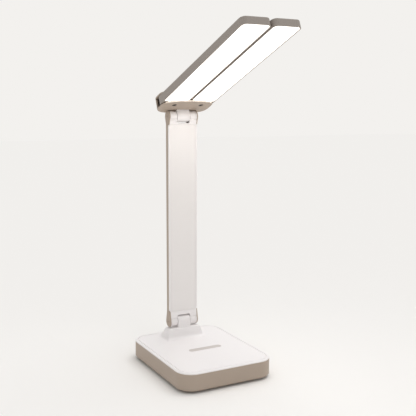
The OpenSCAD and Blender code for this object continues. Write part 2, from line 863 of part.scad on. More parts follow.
module pivot_washers() {
    color(steel) at_head() for (sx = [-1, 1])
        translate([sx * pivot_x, -pivot_s, panel_top + 0.05]) difference() {
            cylinder(d = pivot_washer_d, h = pivot_washer_t);
            translate([0, 0, -1]) cylinder(d = pivot_d + 2 * run_fit, h = 3);
        }
}

// Panels: drawn round their pivot, -Y towards the tip

// Outline of a panel, shrunk by g, from its round rear end to its tip
function panel_outline(g = 0) =
    let (r = panel_w / 2 - g, l = head_l - pivot_s - g, t = max(tip_r - g, 0.5))
    concat(arc(0, 0, r, 0, 180, 32), arc(-r + t, -l + t, t, 180, 270, 8),
           arc(r - t, -l + t, t, 270, 360, 8));

// Outline of the window that the diffuser fills, the distance g inside the panel's sides
function window_outline(g) =
    let (r = panel_w / 2 - g, l = head_l - pivot_s - g, t = max(tip_r - g, 0.5),
         k = window_r - g, back = -window_back - g)
    concat(arc(r - t, -l + t, t, 270, 360, 8), arc(r - k, back - k, k, 0, 90, 6),
           arc(-r + k, back - k, k, 90, 180, 6), arc(-r + t, -l + t, t, 180, 270, 8));

// Side view of a panel as (y, n): level at the pivot, then falling to the tip
function panel_side() =
    let (l = head_l - pivot_s)
    [[panel_w, lit_n], [panel_w, panel_top], [-panel_level, panel_top], [-l, tip_n],
     [-l - 1, tip_n], [-l - 1, lit_n]];

module panel_housing() {
    difference() {
        intersection() {
            translate([0, 0, lit_n]) linear_extrude(panel_t + panel_rise) polygon(panel_outline());
            along_x(panel_w + 2) polygon(panel_side());
        }
        translate([0, 0, lit_n - 1]) linear_extrude(diffuser_n + diffuser_t - lit_n + 1)
            polygon(window_outline(rim_w));
        translate([0, 0, lit_n]) linear_extrude(pocket_top - lit_n)
            polygon(window_outline(rim_w + ledge_w));
        cylinder(d = pivot_d + 2 * run_fit, h = 100);
    }
}

module led_board() {
    rows = panel_w / 4;
    l = head_l - pivot_s - 26;
    pitch = l / led_count;
    translate([0, -l / 2 - 16, pocket_top - led_board_t / 2]) {
        cube([panel_w - 8, l, led_board_t], center = true);
        for (k = [0:led_count - 1], sx = [-1, 1])
            translate([sx * rows / 2, (k + 0.5) * pitch - l / 2, -led_board_t / 2 - 0.3])
                cube([3.5, 2.8, 0.8], center = true);
    }
}

module diffuser() {
    translate([0, 0, diffuser_n]) linear_extrude(diffuser_t)
        polygon(window_outline(rim_w + set_fit));
}

module at_left_pivot() {
    at_head() translate([-pivot_x, -pivot_s, 0]) children();
}

module left_panel_housing() {
    color(panel_taupe) at_left_pivot() panel_housing();
}

module left_led_board() {
    color(board_green) at_left_pivot() led_board();
}

module left_diffuser() {
    color(lit_white) at_left_pivot() diffuser();
}

module right_panel_housing() {
    color(panel_taupe) mirror([1, 0, 0]) at_left_pivot() panel_housing();
}

module right_led_board() {
    color(board_green) mirror([1, 0, 0]) at_left_pivot() led_board();
}

module right_diffuser() {
    color(lit_white) mirror([1, 0, 0]) at_left_pivot() diffuser();
}

base_shell();
base_cover();
touch_key();
touch_board();
foot_pad();
ballast_plate();
control_board();
battery_pack();
charging_socket();
cover_screws();
lower_shaft();
lower_washers();
lower_nut();
arm_rear_shell();
arm_front_shell();
arm_insert();
arm_strip();
arm_cable();
arm_screws();
upper_shaft();
upper_washers();
upper_nut();
hinge_block();
hinge_block_screws();
carrier_plate();
carrier_cap();
pivot_screws();
pivot_washers();
left_panel_housing();
left_led_board();
left_diffuser();
right_panel_housing();
right_led_board();
right_diffuser();
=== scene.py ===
"""Dresses the folding desk lamp for a studio picture.

Lengths are in millimetres until a mesh is made, in the frame of the construction:
+Z up, -Y the way the panels point, +X to the right seen from the front.
"""
import json
import logging
import math
from dataclasses import dataclass
from enum import Enum
from typing import Callable, Sequence

import bpy
import numpy as np
from mathutils import Matrix, Vector


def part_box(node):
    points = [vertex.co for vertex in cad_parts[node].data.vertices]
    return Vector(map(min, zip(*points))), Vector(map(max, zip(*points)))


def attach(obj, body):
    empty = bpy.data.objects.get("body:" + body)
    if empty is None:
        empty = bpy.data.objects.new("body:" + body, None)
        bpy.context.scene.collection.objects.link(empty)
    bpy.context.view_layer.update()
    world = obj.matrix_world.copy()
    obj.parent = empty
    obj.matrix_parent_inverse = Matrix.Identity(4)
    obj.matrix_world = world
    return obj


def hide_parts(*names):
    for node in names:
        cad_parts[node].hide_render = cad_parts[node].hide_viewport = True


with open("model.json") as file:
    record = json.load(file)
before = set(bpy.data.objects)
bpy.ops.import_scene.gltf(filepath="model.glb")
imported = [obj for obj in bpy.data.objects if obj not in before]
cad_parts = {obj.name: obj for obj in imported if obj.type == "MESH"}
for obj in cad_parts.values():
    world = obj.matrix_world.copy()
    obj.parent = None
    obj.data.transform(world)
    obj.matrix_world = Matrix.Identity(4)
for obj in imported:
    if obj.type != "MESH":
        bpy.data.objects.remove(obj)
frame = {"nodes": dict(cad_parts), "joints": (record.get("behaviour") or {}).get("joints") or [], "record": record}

LOG = logging.getLogger("desk_lamp")
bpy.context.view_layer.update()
MM = 0.001
SHARP_DEG = 32.0  # an edge stays sharp over this angle
GAP = 0.1  # each side of a piece that lies in another
PIVOT = (17.7, -20.6)  # the panels' swing pivots, from the upper axis
Array = np.ndarray
Corner = tuple[float, float, float]
Colour = tuple[float, float, float]


class Body(str, Enum):
    """The parts of the lamp that move against each other."""

    BASE = "base"
    ARM = "arm"
    CARRIER = "carrier"
    LEFT = "left_panel"
    RIGHT = "right_panel"


class Axis(Enum):
    """The direction along which a profile is drawn out, as columns of a turn."""

    X = ((0, 0, 1), (1, 0, 0), (0, 1, 0))
    Y = ((1, 0, 0), (0, 0, 1), (0, -1, 0))
    Z = ((1, 0, 0), (0, 1, 0), (0, 0, 1))

    def turn(self, points: Array) -> Array:
        """Gives (a, b, c) points, drawn out along c, their place along this axis."""
        return points @ np.array(self.value, float).T


# ---- Outlines and surfaces


def round_path(corners: Sequence[Corner], closed: bool, step: float = 6.0,
               support: float = 0.12) -> Array:
    """Rounds the corners of a path.

    Each corner becomes an arc tangent to both of its legs: the arc's centre lies on the
    corner's bisector, and its points are the centre plus the radius in directions that
    turn evenly from one leg's normal to the other's. A point a little beyond each end of
    an arc keeps the shading of the straight legs flat.

    Args:
        corners: (x, y, radius) of each corner.
        closed: whether the last corner joins the first.
        step: largest turn between two points of an arc, in degrees.
        support: distance of the extra points from the arcs' ends.

    Returns:
        The points, one row each.
    """
    spots = np.array([c[:2] for c in corners], float)
    pieces: list[Array] = []
    count = len(corners)
    for i, (x, y, radius) in enumerate(corners):
        here = np.array((x, y), float)
        if radius <= 0 or (not closed and i in (0, count - 1)):
            pieces.append(here[None])
            continue
        back, ahead = spots[i - 1] - here, spots[(i + 1) % count] - here
        room = (np.linalg.norm(back), np.linalg.norm(ahead))
        back, ahead = back / room[0], ahead / room[1]
        half = math.acos(np.clip(back @ ahead, -1, 1)) / 2
        reach = radius / math.tan(half)
        centre = here + (back + ahead) / np.linalg.norm(back + ahead) * radius / math.sin(half)
        first, last = here + back * reach - centre, here + ahead * reach - centre
        sweep = math.pi - 2 * half
        n = max(2, math.ceil(math.degrees(sweep) / step))
        t = np.linspace(0, 1, n + 1)[:, None]
        spoke = np.sin((1 - t) * sweep) * first + np.sin(t * sweep) * last
        if reach + support < room[0] / 2:
            pieces.append((here + back * (reach + support))[None])
        pieces.append(centre + spoke / math.sin(sweep))
        if reach + support < room[1] / 2:
            pieces.append((here + ahead * (reach + support))[None])
    points = np.concatenate(pieces)
    nxt = np.roll(points, -1, axis=0)
    keep = np.linalg.norm(nxt - points, axis=1) > 1e-6
    if not closed:
        keep[-1] = True
    return points[keep]


class Outline:
    """A closed outline, counter-clockwise, that can be drawn again further inside.

    A point of the inner outline is the outer point less the inset times the outward
    normal, where the normal is the mean of its two edges' normals, made long enough that
    both edges move by the inset.
    """

    def __init__(self, points: Array) -> None:
        """Takes the points and works out their normals."""
        area = np.cross(points, np.roll(points, -1, axis=0)).sum()
        self.points = points if area > 0 else points[::-1]
        edge = np.roll(self.points, -1, axis=0) - self.points
        edge /= np.linalg.norm(edge, axis=1)[:, None]
        normal = np.stack([edge[:, 1], -edge[:, 0]], 1)
        both = normal + np.roll(normal, 1, axis=0)
        both /= np.linalg.norm(both, axis=1)[:, None]
        stretch = 1 / np.clip((both * normal).sum(1), 0.5, 1)
        self.normals = both * stretch[:, None]


def rounded(corners: Sequence[Corner], step: float = 5.0) -> Outline:
    """An outline with the given corners, rounded by their radii."""
    return Outline(round_path(corners, True, step))


def rectangle(width: float, depth: float, radius: float, x: float = 0, y: float = 0,
              step: float = 5.0) -> Outline:
    """A rectangle with round corners, centred on x and y."""
    w, d = width / 2, depth / 2
    radius = min(radius, min(w, d))
    return rounded([(x - w, y - d, radius), (x + w, y - d, radius),
                    (x + w, y + d, radius), (x - w, y + d, radius)], step)


@dataclass
class Solid:
    """A closed surface: points in millimetres and the faces between them."""

    points: Array
    faces: list[tuple[int, ...]]
    values: Array | None = None

    def placed(self, move: Callable[[Array], Array]) -> "Solid":
        """The same surface with its points moved."""
        return Solid(move(self.points), self.faces, self.values)

    def mirrored(self) -> "Solid":
        """The surface seen in a mirror across X = 0, with its faces still outwards."""
        faces = [f[::-1] for f in self.faces]
        return Solid(self.points * (-1, 1, 1), faces, self.values)

    def mesh(self, name: str) -> bpy.types.Mesh:
        """A Blender mesh of the surface, in metres."""
        mesh = bpy.data.meshes.new(name)
        mesh.from_pydata(self.points * MM, [], self.faces)
        mesh.update()
        return mesh


def tube_faces(rows: int, columns: int) -> list[tuple[int, ...]]:
    """Faces of a stack of closed rings, with one flat face at each end, facing out."""
    i, j = np.meshgrid(np.arange(rows - 1), np.arange(columns), indexing="ij")
    k = (j + 1) % columns
    quads = np.stack([i * columns + j, i * columns + k, (i + 1) * columns + k,
                      (i + 1) * columns + j], -1).reshape(-1, 4)
    ends = [tuple(range(columns))[::-1], tuple(range((rows - 1) * columns, rows * columns))]
    return [tuple(q) for q in quads.tolist()] + ends


def drawn_out(outline: Outline, profile: Array, axis: Axis = Axis.Z) -> Solid:
    """Carries a profile round an outline.

    The point of row i and column j is the outline's point j moved inwards by the
    profile's inset i, at the profile's height i. The first and the last ring are closed
    by one flat face each.

    Args:
        outline: the outer outline.
        profile: (inset, height) of each row, from the bottom's middle to the top's.
        axis: the direction of the height.

    Returns:
        The closed surface.
    """
    flat = outline.points[None] - profile[:, :1, None] * outline.normals[None]
    height = np.broadcast_to(profile[:, 1:, None], flat.shape[:2] + (1,))
    points = np.concatenate([flat, height], -1).reshape(-1, 3)
    rows, columns = flat.shape[:2]
    values = np.repeat(profile[:, 0], columns)
    return Solid(axis.turn(points), tube_faces(rows, columns), values)


def slab(outline: Outline, low: float, high: float, low_r: float = 0.0, high_r: float = 0.0,
         axis: Axis = Axis.Z, flat: float = 0.0) -> Solid:
    """A plate between two heights, with its lower and upper edges rounded.

    Args:
        outline: the plate's outline.
        low: height of the underside.
        high: height of the top.
        low_r: radius of the lower edge.
        high_r: radius of the upper edge.
        axis: the direction of the height.
        flat: inset of the rings that the flat faces begin at, 0 for just past the radii.

    Returns:
        The plate.
    """
    middle = flat or max(low_r, high_r) + 0.2
    path = [(middle, low, 0.0), (0.0, low, low_r), (0.0, high, high_r), (middle, high, 0.0)]
    return drawn_out(outline, round_path(path, False, 15.0, 0.05), axis)


def turned(path: Sequence[Corner], axis: Axis, steps: int = 72) -> Solid:
    """A body of revolution: the profile's radius and height carried round an axis.

    Args:
        path: (radius, height, corner radius) from one end's middle to the other's.
        axis: the direction of the height.
        steps: points round a full turn.

    Returns:
        The closed surface.
    """
    profile = round_path(path, False, 15.0, 0.05)
    angle = np.linspace(0, 2 * np.pi, steps, endpoint=False)
    radius = profile[:, :1]
    points = np.stack([radius * np.cos(angle), radius * np.sin(angle),
                       np.broadcast_to(profile[:, 1:], (len(profile), steps))], -1)
    return Solid(axis.turn(points.reshape(-1, 3)), tube_faces(len(profile), steps))


def rod(diameter: float, low: float, high: float, axis: Axis, a: float = 0, b: float = 0,
        edge: float = 0.0) -> Solid:
    """A rod between two heights along an axis, at (a, b) across it."""
    r = diameter / 2
    made = turned([(r - edge - 0.05, low, 0), (r, low, edge), (r, high, edge),
                   (r - edge - 0.05, high, 0)], axis)
    return made.placed(lambda p: p + axis.turn(np.array([[a, b, 0.0]])))


def joined(*solids: Solid) -> Solid:
    """Several surfaces as one, side by side."""
    start = np.cumsum([0] + [len(s.points) for s in solids])
    faces = [tuple(k + base for k in f) for s, base in zip(solids, start) for f in s.faces]
    return Solid(np.concatenate([s.points for s in solids]), faces)


def both(solid: Solid) -> Solid:
    """A surface and its mirror image across X = 0."""
    return joined(solid, solid.mirrored())


def new_object(name: str, data: bpy.types.ID) -> bpy.types.Object:
    """An object with the given data, linked to the scene."""
    made = bpy.data.objects.new(name, data)
    bpy.context.scene.collection.objects.link(made)
    return made


class Piece:
    """A shown piece of the lamp, built up by adding and cutting solids."""

    def __init__(self, name: str, solid: Solid,
                 place: Callable[[Array], Array] = lambda p: p) -> None:
        """Starts the piece from a solid in its sub-assembly's own frame."""
        self.name = name
        self.place = place
        self.object = new_object(name, solid.placed(place).mesh(name))

    def _combine(self, solid: Solid, operation: str) -> None:
        """Adds or cuts a solid with an exact boolean, applied to the mesh at once."""
        tool = new_object("tool", solid.placed(self.place).mesh("tool"))
        modifier = self.object.modifiers.new("combine", "BOOLEAN")
        modifier.operation = operation
        modifier.solver = "EXACT"
        modifier.use_self = operation == "UNION"
        modifier.object = tool
        bpy.context.view_layer.update()
        depsgraph = bpy.context.evaluated_depsgraph_get()
        result = bpy.data.meshes.new_from_object(self.object.evaluated_get(depsgraph))
        self.object.modifiers.clear()
        self.object.data = result
        bpy.data.objects.remove(tool)

    def add(self, *solids: Solid) -> None:
        """Unites the piece with solids, one after the other."""
        for solid in solids:
            self._combine(solid, "UNION")

    def cut(self, *solids: Solid) -> None:
        """Cuts solids out of the piece, one after the other."""
        for solid in solids:
            self._combine(solid, "DIFFERENCE")

    def finish(self, body: Body, slot: str, finishes: "Finishes", node: str,
               look: str = "") -> None:
        """Shades and dresses the piece and puts it in place of its node.

        Args:
            body: the body that it moves with.
            slot: the record's material slot.
            finishes: every finish of the lamp.
            node: the node that it takes the place of.
            look: the finish, where it isn't the slot's own.
        """
        mesh = self.object.data
        mesh.name = self.name
        mesh.materials.clear()
        mesh.materials.append(finishes[look or slot])
        mesh.polygons.foreach_set("material_index", np.zeros(len(mesh.polygons), np.int32))
        mesh.shade_smooth()
        mesh.set_sharp_from_angle(angle=math.radians(SHARP_DEG))
        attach(self.object, body.value)
        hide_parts(node)
        LOG.info("%s: %d faces", self.name, len(mesh.polygons))


# ---- Finishes


class Value:
    """A socket that carries a number, with arithmetic written as in Python."""

    def __init__(self, shader: "Shader", socket: bpy.types.NodeSocket) -> None:
        """Keeps the socket and the shader that it belongs to."""
        self.shader = shader
        self.socket = socket

    def _math(self, operation: str, left: "Value | float", right: "Value | float") -> "Value":
        """A Math node on two operands."""
        return self.shader.value("ShaderNodeMath", {"operation": operation}, {0: left, 1: right})

    def __add__(self, other: "Value | float") -> "Value":
        """Sum."""
        return self._math("ADD", self, other)

    def __sub__(self, other: "Value | float") -> "Value":
        """Difference."""
        return self._math("SUBTRACT", self, other)

    def __mul__(self, other: "Value | float") -> "Value":
        """Product."""
        return self._math("MULTIPLY", self, other)

    def __truediv__(self, other: "Value | float") -> "Value":
        """Quotient."""
        return self._math("DIVIDE", self, other)

    def clamped(self) -> "Value":
        """The value held between 0 and 1."""
        return self.shader.value("ShaderNodeClamp", {}, {0: self})


class Shader:
    """The node tree of one material, with its principled surface."""

    def __init__(self, name: str) -> None:
        """Makes the material."""
        self.material = bpy.data.materials.new(name)
        self.material.use_nodes = True
        self.tree = self.material.node_tree
        self.surface = next(n for n in self.tree.nodes if n.type == "BSDF_PRINCIPLED")

    def node(self, kind: str, settings: dict, inputs: dict) -> bpy.types.Node:
        """Adds a node.

        Args:
            kind: the node's type name.
            settings: its properties.
            inputs: socket name or number to a value, a Value or an output socket.

        Returns:
            The node.
        """
        node = self.tree.nodes.new(kind)
        for key, setting in settings.items():
            setattr(node, key, setting)
        for key, given in inputs.items():
            self.put(node.inputs[key], given)
        return node

    def value(self, kind: str, settings: dict, inputs: dict, output: int | str = 0) -> Value:
        """Adds a node and gives one of its outputs as a value."""
        return Value(self, self.node(kind, settings, inputs).outputs[output])

    def put(self, socket: bpy.types.NodeSocket, given: object) -> None:
        """Links or sets one input socket."""
        if isinstance(given, Value):
            self.tree.links.new(given.socket, socket)
        elif isinstance(given, bpy.types.NodeSocket):
            self.tree.links.new(given, socket)
        elif isinstance(given, tuple) and len(given) == 3 and socket.type == "RGBA":
            socket.default_value = (*given, 1)
        else:
            socket.default_value = given

    def set(self, **inputs: object) -> None:
        """Sets sockets of the surface, named with underscores for spaces."""
        for key, given in inputs.items():
            self.put(self.surface.inputs[key.replace("_", " ")], given)

    def place(self) -> bpy.types.NodeSocket:
        """Where a point lies on the object, in metres."""
        return self.node("ShaderNodeTexCoord", {}, {}).outputs["Object"]

    def noise(self, size: float, detail: float = 2.0, stretch: Colour = (1, 1, 1)) -> Value:
        """Soft noise around 0.5 with features of the given size in millimetres.

        Args:
            size: size of the features.
            detail: octaves.
            stretch: how much finer the noise is along each axis.

        Returns:
            The noise.
        """
        spot = self.node("ShaderNodeMapping", {}, {"Vector": self.place(), "Scale": stretch})
        return self.value("ShaderNodeTexNoise", {}, {
            "Vector": spot.outputs[0], "Scale": 1 / (size * MM), "Detail": detail})

    def mix(self, factor: Value, first: object, second: object) -> bpy.types.NodeSocket:
        """Blends two colours."""
        return self.node("ShaderNodeMix", {"data_type": "RGBA"},
                         {0: factor, 6: first, 7: second}).outputs[2]

    def bump(self, height: Value, depth: float) -> bpy.types.NodeSocket:
        """A normal that follows a height field of the given depth in millimetres."""
        return self.node("ShaderNodeBump", {}, {
            "Height": height, "Distance": depth * MM, "Strength": 1.0}).outputs[0]


def shade(colour: Colour, factor: float) -> Colour:
    """A colour made darker or lighter."""
    return tuple(min(1.0, c * factor) for c in colour)


@dataclass(frozen=True)
class Finish:
    """A finish's name and its main colour."""

    name: str
    colour: Colour


@dataclass(frozen=True)
class Moulding(Finish):
    """Moulded plastic: a fine eroded texture, faint flow marks and handling wear.

    With a shade colour, it is the oval plate's: its front edge made paler by painted light from the panels, and a
    painted shade line over it where the plate meets the panels.
    """

    roughness: float
    texture: float = 0.5
    depth: float = 0.012
    mottle: float = 0.03
    coat: float = 0.0
    # Colour of the painted shade line where the oval plate meets the panels; None for plain plastic.
    painted_shade: Colour | None = None
    # Painted light: the cream that the oval plate's front edge is painted, standing in for the lit panels' light
    # falling there, and the head-frame height and depth past which it is painted.
    rim: Colour = (0.86, 0.77, 0.68)
    painted_glow_n: float = 6.35
    painted_glow_y: float = -25.0
    # Head-frame height where the painted shade line begins, in millimetres.
    painted_shade_n: float = 7.75

    def material(self) -> bpy.types.Material:
        """Builds the material."""
        s = Shader(self.name)
        flow = s.noise(45.0, 3.0, (1, 1, 0.35))
        speck = s.noise(self.texture * 2.4, 2.0)
        handled = s.noise(18.0, 4.0)
        blend = (flow * 0.6 + speck * 0.4).clamped()
        colour = s.mix(blend, shade(self.colour, 1 - self.mottle),
                       shade(self.colour, 1 + self.mottle))
        if self.painted_shade:
            back, height = self.head_spot(s)
            # Painted light: the front edge, above the given height and ahead of the given depth, is painted cream
            # in place of the panels' light on it.
            front = ((height - self.painted_glow_n) * 4).clamped() * ((back - self.painted_glow_y) * -0.3).clamped()
            # Painted shade: a dark line along the plate's top edge, standing in for the shade where it meets the
            # panels.
            over = ((height + speck * 0.2 - self.painted_shade_n) * 8).clamped()
            colour = s.mix(over, s.mix(front, colour, self.rim), self.painted_shade)
        s.set(Base_Color=colour,
              Roughness=(handled * 0.16 + speck * 0.08 + (self.roughness - 0.12)).clamped(),
              Normal=s.bump(s.noise(self.texture, 2.0) + s.noise(self.texture * 4, 1.0) * 0.5,
                            self.depth),
              IOR=1.49, Coat_Weight=self.coat, Coat_Roughness=0.15)
        return s.material

    @staticmethod
    def head_spot(s: Shader) -> tuple[Value, Value]:
        """Places from the upper axis along the head's +Y and +Z, in millimetres."""
        spot = s.node("ShaderNodeSeparateXYZ", {}, {0: s.place()})
        _, lean, rise = joint("right_swivel")["axis"]
        _, y, z = joint("head_fold")["pos_m"]
        behind, above = Value(s, spot.outputs[1]) - y, Value(s, spot.outputs[2]) - z
        return (behind * rise - above * lean) / MM, (behind * lean + above * rise) / MM


@dataclass(frozen=True)
class Steel(Finish):
    """Turned or rolled steel with fine marks along one direction."""

    roughness: float
    stretch: Colour = (1, 12, 12)

    def material(self) -> bpy.types.Material:
        """Builds the material."""
        s = Shader(self.name)
        marks = s.noise(1.2, 3.0, self.stretch)
        cloud = s.noise(9.0, 2.0)
        s.set(Base_Color=s.mix(cloud, shade(self.colour, 0.9), shade(self.colour, 1.08)),
              Metallic=1.0,
              Roughness=(marks * 0.18 + cloud * 0.08 + (self.roughness - 0.13)).clamped(),
              Normal=s.bump(marks, 0.006))
        return s.material


@dataclass(frozen=True)
class PadRubber(Finish):
    """Soft rubber with a fine grain and a little dust."""

    def material(self) -> bpy.types.Material:
        """Builds the material."""
        s = Shader(self.name)
        grain = s.noise(0.7, 3.0)
        dust = (s.noise(12.0, 4.0) * 2.2 - 0.75).clamped()
        s.set(Base_Color=s.mix(dust, self.colour, shade(self.colour, 1.9)),
              Roughness=(grain * 0.1 + dust * 0.08 + 0.75).clamped(),
              Normal=s.bump(grain, 0.05))
        return s.material


@dataclass(frozen=True)
class SolderMask(Finish):
    """A circuit board: solder mask with faint tracks under it."""

    def material(self) -> bpy.types.Material:
        """Builds the material."""
        s = Shader(self.name)
        weave = s.noise(0.6, 2.0, (1, 3, 1))
        cell = s.value("ShaderNodeTexVoronoi", {"distance": "MANHATTAN", "feature": "F1"},
                       {"Vector": s.place(), "Scale": 1 / (4.0 * MM)})
        tracks = ((cell - 0.42) * 14).clamped()
        s.set(Base_Color=s.mix(tracks, self.colour, shade(self.colour, 1.7)),
              Roughness=(weave * 0.15 + 0.3).clamped(),
              Normal=s.bump(tracks + weave * 0.3, 0.02))
        return s.material


@dataclass(frozen=True)
class OpalLight(Finish):
    """An opal diffuser lit from behind, a touch warmer and dimmer along its edge."""

    edge_colour: Colour
    strength: float

    def material(self) -> bpy.types.Material:
        """Builds the material."""
        s = Shader(self.name)
        inset = s.value("ShaderNodeAttribute", {"attribute_name": "inset"}, {}, "Fac")
        cloud = s.noise(40.0, 2.0)
        inner = ((inset - 0.2) / 4.5 + cloud * 0.1).clamped()
        s.set(Base_Color=s.mix(inner, shade(self.colour, 0.9), self.colour),
              Roughness=(cloud * 0.1 + 0.35).clamped(),
              Emission_Color=s.mix(inner, self.edge_colour, self.colour),
              Emission_Strength=self.strength)
        return s.material


class Finishes:
    """Every finish of the lamp, by the record's material slot."""

    def __init__(self) -> None:
        """Builds the materials."""
        finishes = {
            "taupe_plastic": Moulding("taupe_moulding", (0.440, 0.357, 0.288), 0.5),
            # The oval plate's finish has painted light on its front edge and a painted shade line above it.
            "oval_plate": Moulding("plate_moulding", (0.440, 0.357, 0.288), 0.5,
                                   painted_shade=(0.22, 0.17, 0.135)),
            "panel_plastic": Moulding("panel_moulding", (0.345, 0.302, 0.268), 0.48),
            "white_plastic": Moulding("white_moulding", (0.905, 0.872, 0.864), 0.34, 0.7,
                                      0.006, 0.012, 0.12),
            "insert_plastic": Moulding("insert_moulding", (0.875, 0.842, 0.824), 0.5, 0.4,
                                       0.012, 0.02),
            "key_plastic": Moulding("key_moulding", (0.60, 0.545, 0.515), 0.4, 0.4, 0.008),
            "battery_wrap": Moulding("shrink_wrap", (0.16, 0.22, 0.32), 0.25, 2.5, 0.03),
            "cable_sheath": Moulding("cable_sheath", (0.62, 0.59, 0.54), 0.6),
            "pad_rubber": PadRubber("pad_rubber", (0.06, 0.056, 0.052)),
            "hinge_steel": Steel("hinge_steel", (0.56, 0.57, 0.58), 0.3),
            "dark_steel": Steel("dark_steel", (0.06, 0.055, 0.05), 0.4),
            "ballast_steel": Steel("ballast_steel", (0.42, 0.42, 0.43), 0.45, (12, 1, 12)),
            "circuit_board": SolderMask("circuit_board", (0.03, 0.11, 0.05)),
            "lit_diffuser": OpalLight("lit_diffuser", (1.0, 0.965, 0.93),
                                      (0.23, 0.215, 0.195), 4.7),
        }
        self.by_slot = {slot: finish.material() for slot, finish in finishes.items()}

    def __getitem__(self, slot: str) -> bpy.types.Material:
        """The material of a slot."""
        return self.by_slot[slot]

    def dress_nodes(self) -> None:
        """Gives each node of the construction the material of its slot."""
        for part in frame["record"]["subparts"]:
            mesh = frame["nodes"][part["node"]].data
            mesh.materials.clear()
            mesh.materials.append(self[part["material_slot"]])


# ---- The lamp


def box(node: str) -> tuple[Array, Array]:
    """Lowest and highest corner of a node of the construction, in millimetres."""
    low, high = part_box(node)
    return np.array(low) / MM, np.array(high) / MM


def front_outline(node: str, radius: float, room: float = 0.0, from_z: float = 0.0,
                  step: float = 5.0) -> Outline:
    """A node's box seen along Y, with round corners and some room, from a height."""
    low, high = box(node)
    wide, _, tall = high - low + room
    return rectangle(wide, tall, radius, y=-((low[2] + high[2]) / 2 - from_z), step=step)


def joint(name: str) -> dict:
    """A joint of the construction, by name."""
    return next(j for j in frame["joints"] if j["name"] == name)


def lower_hinge(points: Array) -> Array:
    """Places points given from the lower hinge axis."""
    return points + np.array(joint("base_fold")["pos_m"]) / MM


def head_frame(points: Array) -> Array:
    """Places points given in the head's frame.

    The head's frame starts at the upper hinge axis; its -Y runs to the panels' tips and
    its +Z out of their tops. It is turned about X by the tilt that the swivels' axis has.
    """
    _, lean, rise = joint("right_swivel")["axis"]
    turn = np.array(((1, 0, 0), (0, rise, lean), (0, -lean, rise)))
    return points @ turn.T + np.array(joint("head_fold")["pos_m"]) / MM


@dataclass(frozen=True)
class Hinge:
    """Sizes that both fold hinges share."""

    knuckle_w: float = 16.8
    knuckle_r: float = 6.8
    barrel_r: float = 6.3
    bore: float = 6.1
    edge: float = 0.6
    head: float = 9.2
    notch_w: float = 17.8
    notch_h: float = 8.2

    def knuckle(self, corners: Sequence[Corner]) -> Solid:
        """A middle knuckle: its side outline drawn out along X with soft edges."""
        half = self.knuckle_w / 2
        return slab(rounded(corners, 4.0), -half, half, self.edge, self.edge, Axis.X)


HINGE = Hinge()


@dataclass(frozen=True)
class Flank:
    """One side of the pedestal: how far it stands from the middle at each height."""

    foot: float
    head: float
    fillet: float
    shoulder: float

    def reach(self, z: Array, low: float, high: float) -> Array:
        """Distance of the side from the middle.

        A hollow fillet at the foot, where the distance is the foot's plus the fillet's
        radius less its quarter circle, then a straight draft, then a round shoulder.

        Args:
            z: the heights.
            low: height of the cover's top.
            high: height of the pedestal's top.

        Returns:
            The distance at each height.
        """
        rise = (z - low).clip(0, self.fillet)
        flare = self.fillet - np.sqrt((self.fillet ** 2 - (self.fillet - rise) ** 2).clip(0))
        start, stop = low + self.fillet, high - self.shoulder
        draft = self.foot + (self.head - self.foot) * ((z - start) / (stop - start)).clip(0, 1)
        over = (z - stop).clip(0, self.shoulder)
        return draft + flare - (self.shoulder - np.sqrt((self.shoulder ** 2 - over ** 2).clip(0)))


